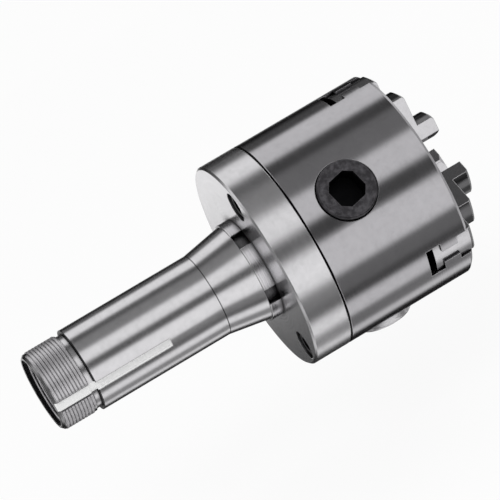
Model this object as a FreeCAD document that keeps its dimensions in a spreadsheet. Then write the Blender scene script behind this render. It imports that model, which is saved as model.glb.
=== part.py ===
import FreeCAD, Part
import math
import os
import Sketcher

# Three-jaw self-centring scroll chuck on a collet shank.
# The spindle axis is +X, jaw 1 stands at +Z, and the origin is the gauge point
# on the axis where the parallel shank meets its head taper.
# Every piece is drawn about its own Z axis and then laid along the spindle.

Vector = FreeCAD.Vector
document = FreeCAD.newDocument("scroll_chuck")
sheet = document.addObject("Spreadsheet::Sheet", "Sizes")

# Driving dimensions in millimetres, degrees and counts.
DIMENSIONS = [
    # collet shank, from the thread end towards the chuck
    ("shank_radius", 15.875, "parallel shank"),
    ("shank_length", 51.8, "parallel shank, from the relief groove to the gauge point"),
    ("thread_radius", 14.95, "core of the drawbar thread"),
    ("thread_length", 13.7, "threaded end"),
    ("relief_radius", 14.4, "groove between thread and shank"),
    ("relief_width", 2.4, "groove between thread and shank"),
    ("head_taper_angle", 10, "taper per side that seats in the spindle"),
    ("head_taper_length", 15.4, "taper along the axis"),
    ("collar_radius", 19.2, "straight collar against the flange"),
    ("collar_length", 4.6, "straight collar"),
    ("notch_count", 5, "spanner notches in the collar"),
    ("notch_width", 6.6, "spanner notch across"),
    ("notch_depth", 2.4, "spanner notch below the collar"),
    ("notch_start_angle", 35.4, "first notch from jaw 1"),
    ("stem_radius", 14.0, "stem inside the flange"),
    ("stem_setback", 0.5, "stem end short of the spigot end"),
    ("shank_bore_radius", 9.5, "bar passage through the shank"),
    ("stop_bore_radius", 13.2, "tapped mouth for a work stop"),
    ("stop_bore_length", 11.5, "tapped mouth for a work stop"),
    ("stop_bore_cone", 3.0, "cone from the mouth to the passage"),
    ("keyway_width", 3.2, "key slot along the shank"),
    ("keyway_depth", 1.4, "key slot below the shank"),
    ("keyway_length", 46.4, "key slot from the thread end"),
    ("keyway_angle", 98.8, "key slot from jaw 1"),
    ("shank_end_chamfer", 1.0, "lead at the thread end"),
    # mounting flange
    ("flange_thickness", 15.0, "flange between its two faces"),
    ("flange_rear_edge", 0.8, "chamfer at the back face"),
    ("seam_chamfer", 0.5, "chamfer on each side of the seam"),
    ("spigot_length", 3.3, "register spigot that centres the chuck"),
    ("spigot_clearance", 0.02, "register fit"),
    ("stem_clearance", 0.02, "stem fit in the flange"),
    # mounting screws
    ("bolt_inset", 7.0, "mounting screws in from the body's outside"),
    ("bolt_start_angle", 30.0, "first mounting screw from jaw 1"),
    ("bolt_radius", 3.0, "mounting screw thread"),
    ("bolt_head_radius", 5.0, "mounting screw head"),
    ("bolt_head_height", 6.0, "mounting screw head"),
    ("bolt_socket_flats", 5.0, "hexagon in the mounting screw head"),
    ("bolt_reach", 12.0, "mounting screw inside the chuck body"),
    ("counterbore_radius", 5.5, "recess for the mounting screw head"),
    ("counterbore_depth", 6.8, "recess for the mounting screw head"),
    ("bolt_hole_radius", 3.3, "clearance hole in the flange"),
    ("screw_fit", 0.05, "radial room of a screw in its tapped hole"),
    ("bolt_hole_tail", 2.0, "tapped hole beyond the screw end"),
    ("screw_edge_share", 0.12, "chamfer of a screw head, as a share of its radius"),
    ("screw_socket_share", 0.6, "socket depth, as a share of the head height"),
    # chuck body
    ("body_radius", 40.0, "outside of the chuck body and the flange"),
    ("body_length", 51.0, "chuck body, back to front face"),
    ("front_chamfer", 1.0, "chamfer at the front face"),
    ("through_radius", 8.0, "bar passage through the chuck"),
    ("hub_radius", 13.0, "inner tube that the scroll plate turns on"),
    ("body_wall", 12.5, "wall round the bore for spigot, cover and scroll plate"),
    ("cover_seat_depth", 7.0, "hub end from the back face"),
    # back cover
    ("cover_thickness", 3.5, "cover plate"),
    ("cover_clearance", 0.05, "cover in the register bore"),
    ("boss_inner_radius", 13.1, "cover boss over the hub"),
    ("boss_outer_radius", 18.8, "cover boss"),
    ("boss_gap", 1.0, "cover boss inside the bevel teeth"),
    ("cover_bore_radius", 8.5, "bar passage through the cover"),
    ("cover_screw_circle", 10.6, "cover screws from the axis"),
    ("cover_screw_radius", 1.25, "cover screw thread"),
    ("cover_screw_head_radius", 2.2, "cover screw head"),
    ("cover_screw_head_height", 1.8, "cover screw head"),
    ("cover_screw_length", 7.0, "cover screw under its head"),
    ("cover_screw_flats", 2.0, "hexagon in the cover screw head"),
    ("boss_wall", 2.5, "cover boss beyond the pinion nose"),
    # pinions
    ("pinion_axis_depth", 19.0, "pinion axis from the body's back face"),
    ("pinion_radius", 11.0, "pinion journal and head"),
    ("pinion_clearance", 0.05, "journal in the body"),
    ("pinion_stand_out", 1.6, "pinion face beyond the body's outside"),
    ("pinion_head_radius", 10.65, "head, free of the seat's mouth"),
    ("pinion_head_chamfer", 0.6, "edge of the pinion head"),
    ("journal_inset", 0.4, "journal end outside the chamber wall"),
    ("socket_flats", 11.6, "square for the chuck key"),
    ("socket_corners", 12.7, "square for the chuck key, across its cut corners"),
    ("socket_turn", 12, "square for the chuck key, against the spindle axis"),
    ("socket_depth", 10.4, "square for the chuck key"),
    ("retaining_groove_width", 3.3, "groove round the journal"),
    ("retaining_groove_depth", 1.5, "groove round the journal"),
    ("retaining_inset", 3.0, "retaining screws in from the body's outside"),
    ("nose_radius", 3.5, "inner bearing of the pinion"),
    ("nose_end_radius", 13.6, "inner end of the nose from the axis"),
    ("nose_clearance", 0.05, "nose in the cover boss"),
    ("nose_edge", 0.4, "lead of the pinion nose"),
    ("retainer_radius", 2.0, "threaded part of the retaining screw"),
    ("retainer_thread_length", 4.6, "threaded part of the retaining screw"),
    ("retainer_point_radius", 1.5, "dog point of the retaining screw"),
    ("retainer_socket_flats", 2.0, "hexagon in the retaining screw"),
    ("retainer_depth", 0.4, "retaining screw below the back face"),
    ("retainer_point_gap", 0.2, "point above the groove bottom"),
    ("retainer_edge", 0.3, "lead of the retaining screw"),
    ("retainer_socket_depth", 2.0, "hexagon in the retaining screw"),
    # bevel gears, at the large end
    ("bevel_end_gap", 0.5, "large end of the teeth inside the chamber wall"),
    ("tooth_end_gap", 0.15, "pinion collar beyond the large end of the teeth"),
    ("scroll_teeth", 36, "bevel teeth under the scroll plate"),
    ("pinion_teeth", 9, "bevel teeth on a pinion"),
    ("scroll_addendum", 0.8, "scroll tooth above the pitch line"),
    ("pinion_addendum", 1.8, "pinion tooth above the pitch line"),
    ("root_clearance", 0.3, "tooth tip to root"),
    ("pressure_angle", 20.0, "flank angle"),
    ("pinion_tooth_share", 0.594, "pinion tooth at the pitch line, as a share of the pitch"),
    ("backlash", 0.5, "scroll tooth narrower than its space"),
    ("tooth_root_overlap", 0.4, "bevel teeth sunk into their blank"),
    # scroll plate
    ("scroll_rim_gap", 0.2, "scroll plate inside the chamber wall"),
    ("scroll_bore_clearance", 0.06, "scroll plate on the hub"),
    ("scroll_pitch", 5.0, "spiral advance per turn"),
    ("groove_width", 2.6, "spiral groove"),
    ("groove_depth", 2.9, "spiral groove"),
    ("scroll_top_gap", 0.15, "ridge top under the jaw foot"),
    ("groove_phase_radius", 15.5, "groove middle under jaw 1 at rest"),
    ("scroll_back_gap", 0.1, "scroll plate above the cover boss"),
    ("chamber_roof_gap", 0.1, "chamber roof above the lower faces of the jaw feet"),
    # jaws
    ("jaw_slot_floor", 17.3, "slot floor from the front face, under the jaw foot"),
    ("foot_half_width", 6.2, "jaw foot"),
    ("foot_bottom", 14.35, "jaw foot below the front face"),
    ("foot_top", 11.5, "jaw foot top below the front face"),
    ("neck_half_width", 2.7, "jaw between its side grooves"),
    ("neck_top", 4.8, "side groove top below the front face"),
    ("head_half_width", 5.5, "jaw above its side grooves"),
    ("jaw_clearance", 0.08, "jaw neck and tongues in their slot"),
    ("jaw_side_gap", 0.35, "jaw foot and head between the slot walls"),
    ("jaw_tip_radius", 8.0, "jaw tip from the axis at rest"),
    ("jaw_tip_flat", 0.9, "blunt width of the jaw tip"),
    ("jaw_tip_angle", 120.0, "included angle of the jaw tip"),
    ("jaw_end_inset", 0.9, "jaw outer end inside the body's outside at rest"),
    ("low_step_radius", 29.1, "outer face of the middle step"),
    ("high_step_radius", 17.4, "outer face of the high step"),
    ("low_height", 1.6, "jaw base above the front face"),
    ("middle_height", 8.1, "middle step above the front face"),
    ("high_height", 14.6, "high step above the front face"),
    ("jaw_edge", 0.8, "chamfer on the outer edge of each step"),
    ("jaw_tip_edge", 1.2, "chamfer on the top edge of the tip"),
    ("jaw_tooth_width", 2.3, "jaw tooth at its middle"),
    ("jaw_tooth_height", 2.7, "jaw tooth below the foot"),
    ("tip_wall", 2.5, "jaw foot between the tip and its first tooth"),
    ("end_wall", 3.0, "least jaw foot between its last tooth and its outer end"),
]
JAW_COUNT = 3
# How far a cut runs past the wall that it opens.
BEYOND = 1.0
SPIRAL_POINTS_PER_TURN = 24
# Two lengths that differ by less than this are taken as equal.
SAME = 1e-4

for row, (alias, value, note) in enumerate(DIMENSIONS, start=1):
    sheet.set(f"A{row}", alias)
    sheet.set(f"B{row}", str(value))
    sheet.set(f"C{row}", note)
    sheet.setAlias(f"B{row}", alias)
document.recompute()


class Size:
    """A number together with the spreadsheet expression that it comes from."""

    def __init__(self, value, text):
        self.value = value
        self.text = text

    def join(self, other, sign, result):
        return Size(result, f"({self.text} {sign} {as_size(other).text})")

    def __add__(self, other):
        return self.join(other, "+", self.value + as_size(other).value)

    def __sub__(self, other):
        return self.join(other, "-", self.value - as_size(other).value)

    def __mul__(self, other):
        return self.join(other, "*", self.value * as_size(other).value)

    def __truediv__(self, other):
        return self.join(other, "/", self.value / as_size(other).value)

    def __neg__(self):
        return as_size(0) - self

    def of_angle(self, function):
        return Size(getattr(math, function)(math.radians(self.value)), f"{function}({self.text} * 1 deg)")


def as_size(number):
    return number if isinstance(number, Size) else Size(float(number), repr(float(number)))


class Sheet:
    """Gives each spreadsheet cell as a Size by its alias."""

    def __getattr__(self, alias):
        return Size(float(sheet.get(alias)), f"Sizes.{alias}")


d = Sheet()

# Places along the spindle axis, counted from the gauge point.
flange_back = d.head_taper_length + d.collar_length
body_back = flange_back + d.flange_thickness
front_face = body_back + d.body_length
pinion_axis = body_back + d.pinion_axis_depth

# Radii that follow the outside of the chuck body.
register_radius = d.body_radius - d.body_wall
bolt_circle = d.body_radius - d.bolt_inset
retaining_circle = d.body_radius - d.retaining_inset
pinion_face = d.body_radius + d.pinion_stand_out
jaw_end = d.body_radius - d.jaw_end_inset
journal_start = register_radius + d.journal_inset
scroll_radius = register_radius - d.scroll_rim_gap
bevel_end = register_radius - d.bevel_end_gap
bevel_small_radius = d.boss_outer_radius + d.boss_gap

# Places along the axis inside the chuck body, counted from its back face.
chamber_roof = d.body_length - d.foot_bottom + d.chamber_roof_gap
scroll_top = d.body_length - d.foot_bottom - d.scroll_top_gap
jaw_step = 360 / JAW_COUNT
pinion_start_angle = jaw_step / 2

# Bevel geometry: both gears are cones about the point where their axes meet.
gear_ratio = d.scroll_teeth / d.pinion_teeth
pinion_pitch = bevel_end / gear_ratio
tooth_spacing = 2 * math.pi * bevel_end.value / d.scroll_teeth.value
pinion_tooth_width = tooth_spacing * d.pinion_tooth_share.value
small_scale = bevel_small_radius / bevel_end
pinion_root = pinion_pitch - d.scroll_addendum - d.root_clearance
pinion_tip = pinion_pitch + d.pinion_addendum
scroll_root = pinion_tip + d.root_clearance
scroll_tip = pinion_pitch - d.scroll_addendum

SPINDLE_TURN = FreeCAD.Rotation(Vector(1, 0, 1), 180)


def plane(body, role):
    """The origin plane or axis of a body, found by its role."""
    return next(item for item in body.Origin.OriginFeatures if item.Role == role)


def new_body(name, along=0, angle=0):
    """A body laid along the spindle and turned about it by an angle from jaw 1."""
    body = document.addObject("PartDesign::Body", name)
    body.Label = name
    turn = SPINDLE_TURN.multiply(FreeCAD.Rotation(Vector(0, 0, 1), as_size(angle).value))
    body.Placement = FreeCAD.Placement(Vector(as_size(along).value, 0, 0), turn)
    body.setExpression("Placement.Base.x", as_size(along).text)
    return body


def new_sketch(body, name, role, offset=0):
    sketch = body.newObject("Sketcher::SketchObject", f"{body.Name}_{name}")
    sketch.AttachmentSupport = [(plane(body, role), "")]
    sketch.MapMode = "FlatFace"
    sketch.setExpression("AttachmentOffset.Base.z", as_size(offset).text)
    return sketch


def bind(sketch, constraint, size):
    index = sketch.addConstraint(constraint)
    sketch.setExpression(f"Constraints[{index}]", size.text)


def outline(body, name, role, corners, offset=0):
    """A closed sketch of straight lines whose corners follow the spreadsheet."""
    sketch = new_sketch(body, name, role, offset)
    corners = [(as_size(x), as_size(y)) for x, y in corners]
    count = len(corners)
    for index, (x, y) in enumerate(corners):
        next_x, next_y = corners[(index + 1) % count]
        start = Vector(x.value, y.value, 0)
        sketch.addGeometry(Part.LineSegment(start, Vector(next_x.value, next_y.value, 0)))
    for index, (x, y) in enumerate(corners):
        sketch.addConstraint(Sketcher.Constraint("Coincident", index, 2, (index + 1) % count, 1))
        bind(sketch, Sketcher.Constraint("DistanceX", -1, 1, index, 1, x.value), x)
        bind(sketch, Sketcher.Constraint("DistanceY", -1, 1, index, 1, y.value), y)
    return sketch


def circles(body, name, role, places, offset=0):
    """A sketch of circles, each given as x, y and radius."""
    sketch = new_sketch(body, name, role, offset)
    for index, place in enumerate(places):
        x, y, radius = [as_size(number) for number in place]
        circle = Part.Circle(Vector(x.value, y.value, 0), Vector(0, 0, 1), radius.value)
        sketch.addGeometry(circle)
        bind(sketch, Sketcher.Constraint("Radius", index, radius.value), radius)
        bind(sketch, Sketcher.Constraint("DistanceX", -1, 1, index, 3, x.value), x)
        bind(sketch, Sketcher.Constraint("DistanceY", -1, 1, index, 3, y.value), y)
    return sketch


def drawn(body, name, role, curves, offset=0):
    """A sketch of computed curves that need no constraints."""
    sketch = new_sketch(body, name, role, offset)
    for curve in curves:
        sketch.addGeometry(curve)
    return sketch


def hexagon(body, name, role, flats, offset=0):
    """A hexagon with two corners on the sketch's vertical axis."""
    side = flats * (1 / math.sqrt(3))
    half = flats * 0.5
    corners = [(0, side), (half, side * 0.5), (half, side * -0.5)]
    corners += [(0, -side), (-half, side * -0.5), (-half, side * 0.5)]
    return outline(body, name, role, corners, offset)


def key_square(body, name, role, offset):
    """A square with cut corners, turned in its sketch, for the chuck key."""
    half = d.socket_flats * 0.5
    short = d.socket_corners * math.sqrt(0.5) - half
    ahead = d.socket_turn.of_angle("cos")
    aside = d.socket_turn.of_angle("sin")
    corners = []
    pair = [(half, short), (short, half)]
    for _ in range(4):
        corners += [(x * ahead - y * aside, x * aside + y * ahead) for x, y in pair]
        pair = [(-y, x) for x, y in pair]
    return outline(body, name, role, corners, offset)


def revolve(body, sketch):
    feature = body.newObject("PartDesign::Revolution", f"{sketch.Name}_turned")
    feature.Profile = sketch
    feature.ReferenceAxis = (sketch, ["V_Axis"])
    return feature


def extrude(body, kind, sketch, length, backwards=False, both_ways=False):
    feature = body.newObject(f"PartDesign::{kind}", f"{sketch.Name}_{kind.lower()}")
    feature.Profile = sketch
    feature.SideType = "Symmetric" if both_ways else "One side"
    feature.Reversed = backwards
    feature.Length = as_size(length).value
    feature.setExpression("Length", as_size(length).text)
    return feature


def pad(body, sketch, length, **options):
    return extrude(body, "Pad", sketch, length, **options)


def pocket(body, sketch, length, **options):
    before = solid_volume(body)
    feature = extrude(body, "Pocket", sketch, length, **options)
    if not solid_volume(body) < before:
        raise RuntimeError(f"{feature.Name} cuts nothing")
    return feature


def solid_volume(body):
    document.recompute()
    return body.Shape.Volume


def repeat(body, features, count):
    """A polar pattern of features about the body's Z axis."""
    before = solid_volume(body)
    pattern = body.newObject("PartDesign::PolarPattern", f"{features[-1].Name}_round")
    pattern.Originals = features
    pattern.Axis = (plane(body, "Z_Axis"), [""])
    pattern.Angle = 360
    pattern.Occurrences = int(as_size(count).value)
    if isinstance(count, Size):
        pattern.setExpression("Occurrences", count.text)
    body.Tip = pattern
    if solid_volume(body) == before:
        raise RuntimeError(f"{pattern.Name} repeats nothing")
    return pattern


def turned_point(radius, angle):
    """The sheet position of a point at a radius and an angle from jaw 1."""
    turn = math.radians(as_size(angle).value)
    return radius * math.cos(turn), radius * math.sin(turn)


def radial_slot(body, name, radius, depth, width, angle, offset):
    """A sketch of a slot that reaches in from a round wall, at an angle from jaw 1."""
    floor = radius - depth
    rim = radius + BEYOND
    half = width * 0.5
    turn = math.radians(angle.value)
    corners = [(floor, -half), (rim, -half), (rim, half), (floor, half)]
    turned = [
        (x * math.cos(turn) - y * math.sin(turn), x * math.sin(turn) + y * math.cos(turn))
        for x, y in corners
    ]
    return outline(body, name, "XY_Plane", turned, offset)


def build_collet_shank():
    body = new_body("collet_shank")
    thread_end = -(d.shank_length + d.relief_width + d.thread_length)
    thread_top = -(d.shank_length + d.relief_width)
    taper_radius = d.shank_radius + d.head_taper_length * d.head_taper_angle.of_angle("tan")
    stem_end = body_back + d.spigot_length - d.stem_setback
    edge = d.shank_end_chamfer
    corners = [
        (d.stop_bore_radius, thread_end),
        (d.thread_radius - edge, thread_end),
        (d.thread_radius, thread_end + edge),
        (d.thread_radius, thread_top),
        (d.relief_radius, thread_top),
        (d.relief_radius, -d.shank_length),
        (d.shank_radius, -d.shank_length),
        (d.shank_radius, 0),
        (taper_radius, d.head_taper_length),
        (d.collar_radius, d.head_taper_length),
        (d.collar_radius, flange_back),
        (d.stem_radius, flange_back),
        (d.stem_radius, stem_end),
        (d.shank_bore_radius, stem_end),
        (d.shank_bore_radius, thread_end + d.stop_bore_length + d.stop_bore_cone),
        (d.stop_bore_radius, thread_end + d.stop_bore_length),
    ]
    revolve(body, outline(body, "profile", "XZ_Plane", corners))
    key_slot = radial_slot(body, "key_slot", d.shank_radius, d.keyway_depth, d.keyway_width,
                           d.keyway_angle, thread_end)
    pocket(body, key_slot, d.keyway_length, backwards=True)
    notch = radial_slot(body, "notch", d.collar_radius, d.notch_depth, d.notch_width,
                        d.notch_start_angle, d.head_taper_length)
    cut = pocket(body, notch, d.collar_length, backwards=True)
    repeat(body, [cut], d.notch_count)
    return body


def build_mounting_flange():
    body = new_body("mounting_flange", flange_back)
    thick = d.flange_thickness
    spigot_radius = register_radius - d.spigot_clearance
    stem_hole = d.stem_radius + d.stem_clearance
    corners = [
        (stem_hole, 0),
        (d.body_radius - d.flange_rear_edge, 0),
        (d.body_radius, d.flange_rear_edge),
        (d.body_radius, thick - d.seam_chamfer),
        (d.body_radius - d.seam_chamfer, thick),
        (spigot_radius, thick),
        (spigot_radius, thick + d.spigot_length),
        (stem_hole, thick + d.spigot_length),
    ]
    revolve(body, outline(body, "profile", "XZ_Plane", corners))
    x, y = turned_point(bolt_circle, d.bolt_start_angle)
    recess = circles(body, "recess", "XY_Plane", [(x, y, d.counterbore_radius)])
    recess_cut = pocket(body, recess, d.counterbore_depth, backwards=True)
    repeat(body, [recess_cut], JAW_COUNT)
    hole = circles(body, "bolt_hole", "XY_Plane", [(x, y, d.bolt_hole_radius)])
    hole_cut = pocket(body, hole, thick, backwards=True)
    repeat(body, [hole_cut], JAW_COUNT)
    return body


def build_chuck_body():
    body = new_body("chuck_body", body_back)
    front = d.body_length
    edge = d.front_chamfer
    corners = [
        (d.through_radius, d.cover_seat_depth),
        (d.hub_radius, d.cover_seat_depth),
        (d.hub_radius, chamber_roof),
        (register_radius, chamber_roof),
        (register_radius, 0),
        (d.body_radius - d.seam_chamfer, 0),
        (d.body_radius, d.seam_chamfer),
        (d.body_radius, front - edge),
        (d.body_radius - edge, front),
        (d.through_radius + edge, front),
        (d.through_radius, front - edge),
    ]
    revolve(body, outline(body, "profile", "XZ_Plane", corners))
    # T slot for a jaw: tooth space and foot below, narrow neck, wide head
    gap = d.jaw_clearance
    wide = d.foot_half_width + d.jaw_side_gap
    narrow = d.neck_half_width + gap
    head = d.head_half_width + d.jaw_side_gap
    levels = [
        (wide, front - d.jaw_slot_floor),
        (wide, front - d.foot_top + gap),
        (narrow, front - d.foot_top + gap),
        (narrow, front - d.neck_top - gap),
        (head, front - d.neck_top - gap),
        (head, front + BEYOND),
    ]
    mirrored = [(-half, level) for half, level in reversed(levels)]
    slot = outline(body, "jaw_slot", "YZ_Plane", levels + mirrored)
    slot_cut = pocket(body, slot, d.body_radius + BEYOND, backwards=True)
    repeat(body, [slot_cut], JAW_COUNT)
    # round seats for the pinions, opposite the jaws
    seat_radius = d.pinion_radius + d.pinion_clearance
    outside = d.body_radius + BEYOND
    seat = circles(body, "pinion_seat", "YZ_Plane", [(0, d.pinion_axis_depth, seat_radius)],
                   -outside)
    seat_cut = pocket(body, seat, outside - bevel_small_radius, backwards=True)
    repeat(body, [seat_cut], JAW_COUNT)
    # tapped holes from the back face
    x, y = turned_point(bolt_circle, d.bolt_start_angle)
    bolt_hole = circles(body, "bolt_hole", "XY_Plane", [(x, y, d.bolt_radius + d.screw_fit)])
    bolt_cut = pocket(body, bolt_hole, d.bolt_reach + d.bolt_hole_tail, backwards=True)
    repeat(body, [bolt_cut], JAW_COUNT)
    x, y = turned_point(retaining_circle, pinion_start_angle)
    wide_hole = circles(body, "retainer_hole", "XY_Plane", [(x, y, d.retainer_radius + d.screw_fit)])
    reach = d.retainer_depth + d.retainer_thread_length
    wide_cut = pocket(body, wide_hole, reach, backwards=True)
    repeat(body, [wide_cut], JAW_COUNT)
    point_radius = d.retainer_point_radius + d.screw_fit
    point_hole = circles(body, "retainer_point", "XY_Plane", [(x, y, point_radius)])
    point_reach = d.pinion_axis_depth - d.pinion_radius + BEYOND
    point_cut = pocket(body, point_hole, point_reach, backwards=True)
    repeat(body, [point_cut], JAW_COUNT)
    x, y = turned_point(d.cover_screw_circle, 0)
    cover_hole = circles(body, "cover_hole", "XY_Plane",
                         [(x, y, d.cover_screw_radius + d.screw_fit)], d.cover_seat_depth)
    cover_cut = pocket(body, cover_hole, d.cover_screw_length, backwards=True)
    repeat(body, [cover_cut], JAW_COUNT)
    return body


def build_back_cover():
    body = new_body("back_cover", body_back + d.cover_seat_depth)
    rim = register_radius - d.cover_clearance
    top = d.pinion_axis_depth - d.cover_seat_depth
    boss_top = top + d.nose_radius + d.boss_wall
    corners = [
        (d.cover_bore_radius, -d.cover_thickness),
        (rim, -d.cover_thickness),
        (rim, 0),
        (d.boss_outer_radius, 0),
        (d.boss_outer_radius, boss_top),
        (d.boss_inner_radius, boss_top),
        (d.boss_inner_radius, 0),
        (d.cover_bore_radius, 0),
    ]
    revolve(body, outline(body, "profile", "XZ_Plane", corners))
    nose = circles(body, "nose_hole", "YZ_Plane", [(0, top, d.nose_radius + d.nose_clearance)],
                   -(d.boss_outer_radius + BEYOND))
    nose_reach = d.boss_outer_radius + BEYOND - d.hub_radius
    nose_cut = pocket(body, nose, nose_reach, backwards=True)
    repeat(body, [nose_cut], JAW_COUNT)
    x, y = turned_point(d.cover_screw_circle, 0)
    hole = circles(body, "screw_hole", "XY_Plane",
                   [(x, y, d.cover_screw_radius + d.screw_fit)], -d.cover_thickness)
    hole_cut = pocket(body, hole, d.cover_thickness, backwards=True)
    repeat(body, [hole_cut], JAW_COUNT)
    seat = circles(body, "screw_seat", "XY_Plane",
                   [(x, y, d.cover_screw_head_radius + d.screw_fit)], -d.cover_thickness)
    seat_cut = pocket(body, seat, d.cover_screw_head_height, backwards=True)
    repeat(body, [seat_cut], JAW_COUNT)
    return body


def socket_screw(name, along, angle, circle, thread, head_radius, head_height, length, flats):
    """A socket head screw whose head ends at the given place along the axis."""
    body = new_body(name, along, angle)
    edge = head_radius * d.screw_edge_share
    corners = [
        (0, -head_height),
        (head_radius - edge, -head_height),
        (head_radius, edge - head_height),
        (head_radius, 0),
        (thread, 0),
        (thread, length - edge),
        (thread - edge, length),
        (0, length),
    ]
    revolve(body, outline(body, "profile", "XZ_Plane", corners))
    socket = hexagon(body, "socket", "XY_Plane", flats, -head_height)
    pocket(body, socket, head_height * d.screw_socket_share, backwards=True)
    x, y = turned_point(circle, angle)
    body.Placement.Base = Vector(as_size(along).value, -y.value, x.value)
    body.setExpression("Placement.Base.y", (-y).text)
    body.setExpression("Placement.Base.z", x.text)
    return body


def build_retaining_screw(name, angle):
    """A headless screw whose dog point keeps a pinion in its seat."""
    body = new_body(name, body_back, angle)
    start = d.retainer_depth
    shoulder = start + d.retainer_thread_length
    groove_floor = d.pinion_axis_depth - d.pinion_radius + d.retaining_groove_depth
    end = groove_floor - d.retainer_point_gap
    edge = d.retainer_edge
    corners = [
        (0, start),
        (d.retainer_radius - edge, start),
        (d.retainer_radius, start + edge),
        (d.retainer_radius, shoulder),
        (d.retainer_point_radius, shoulder),
        (d.retainer_point_radius, end),
        (0, end),
    ]
    revolve(body, outline(body, "profile", "XZ_Plane", corners))
    socket = hexagon(body, "socket", "XY_Plane", d.retainer_socket_flats, start)
    pocket(body, socket, d.retainer_socket_depth, backwards=True)
    x, y = turned_point(retaining_circle, angle)
    body.Placement.Base = Vector(body_back.value, -y.value, x.value)
    body.setExpression("Placement.Base.y", (-y).text)
    body.setExpression("Placement.Base.z", x.text)
    return body


def pinion_flank(radius):
    """Half the angle that a pinion tooth fills at a radius, by the involute of its pitch cone."""
    pitch = pinion_pitch.value
    slope = math.radians(d.pressure_angle.value)
    base = pitch * math.cos(slope)
    reach = math.acos(min(1, base / radius))
    involute = math.tan(reach) - reach
    pitch_involute = math.tan(slope) - slope
    return pinion_tooth_width / 2 / pitch + pitch_involute - involute


def pinion_tooth(body, name, distance):
    """The tooth's section across the pinion axis, at a distance from the spindle axis."""
    scale = distance.value / bevel_end.value
    base = pinion_pitch.value * math.cos(math.radians(d.pressure_angle.value))
    inner = pinion_root.value - d.tooth_root_overlap.value
    radii = [max(base, pinion_root.value), (base + pinion_tip.value) / 2, pinion_tip.value]
    # a space, not a tooth, faces the scroll plate on the pinion's Y axis
    phase = math.pi / 2 - math.pi / d.pinion_teeth.value
    flank = [(radius, pinion_flank(radius)) for radius in radii]

    def point(radius, angle):
        turned = phase + angle
        return Vector(radius * math.cos(turned), radius * math.sin(turned), 0) * scale

    left = [point(radius, angle) for radius, angle in flank]
    right = [point(radius, -angle) for radius, angle in flank]
    foot_left = point(inner, flank[0][1])
    foot_right = point(inner, -flank[0][1])
    curves = [
        Part.LineSegment(foot_right, right[0]),
        Part.Arc(right[0], right[1], right[2]),
        Part.LineSegment(right[2], left[2]),
        Part.Arc(left[2], left[1], left[0]),
        Part.LineSegment(left[0], foot_left),
        Part.LineSegment(foot_left, foot_right),
    ]
    return drawn(body, name, "XY_Plane", curves, distance)


def build_pinion(name, angle):
    """A bevel pinion drawn about its own axis, which points away from the spindle."""
    body = document.addObject("PartDesign::Body", name)
    body.Label = name
    groove_half = d.retaining_groove_width * 0.5
    groove_floor = d.pinion_radius - d.retaining_groove_depth
    face = pinion_face
    start = journal_start
    large_end = bevel_end
    corners = [
        (0, d.nose_end_radius),
        (d.nose_radius - d.nose_edge, d.nose_end_radius),
        (d.nose_radius, d.nose_end_radius + d.nose_edge),
        (d.nose_radius, bevel_small_radius),
        (pinion_root * small_scale, bevel_small_radius),
        (pinion_root, large_end + d.tooth_end_gap),
        (pinion_tip, large_end + d.tooth_end_gap),
        (pinion_tip, start),
        (d.pinion_radius, start),
        (d.pinion_radius, retaining_circle - groove_half),
        (groove_floor, retaining_circle - groove_half),
        (groove_floor, retaining_circle + groove_half),
        (d.pinion_head_radius, retaining_circle + groove_half),
        (d.pinion_head_radius, face - d.pinion_head_chamfer),
        (d.pinion_head_radius - d.pinion_head_chamfer, face),
        (0, face),
    ]
    revolve(body, outline(body, "profile", "XZ_Plane", corners))
    tooth = body.newObject("PartDesign::AdditiveLoft", f"{name}_tooth")
    tooth.Profile = pinion_tooth(body, "tooth_large", large_end)
    tooth.Sections = [pinion_tooth(body, "tooth_small", bevel_small_radius)]
    tooth.Ruled = True
    repeat(body, [tooth], d.pinion_teeth)
    pocket(body, key_square(body, "socket", "XY_Plane", face), d.socket_depth)
    # the pinion's own Z axis is turned to its place round the spindle
    radial = math.radians(as_size(angle).value)
    outward = Vector(0, -math.sin(radial), math.cos(radial))
    across = Vector(1, 0, 0)
    turn = FreeCAD.Rotation(outward.cross(across) * -1, across, outward, "ZYX")
    body.Placement = FreeCAD.Placement(Vector(pinion_axis.value, 0, 0), turn)
    body.setExpression("Placement.Base.x", pinion_axis.text)
    return body


def spiral_curve(offset, start_turns, end_turns):
    """One wall of the spiral groove, at an offset from the groove's middle line."""
    steps = int((end_turns - start_turns) * SPIRAL_POINTS_PER_TURN)
    points = []
    for index in range(steps + 1):
        turns = start_turns + (end_turns - start_turns) * index / steps
        radius = d.groove_phase_radius.value + d.scroll_pitch.value * turns + offset
        angle = 2 * math.pi * turns
        points.append(Vector(radius * math.cos(angle), radius * math.sin(angle), 0))
    curve = Part.BSplineCurve()
    curve.interpolate(points)
    return curve


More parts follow.
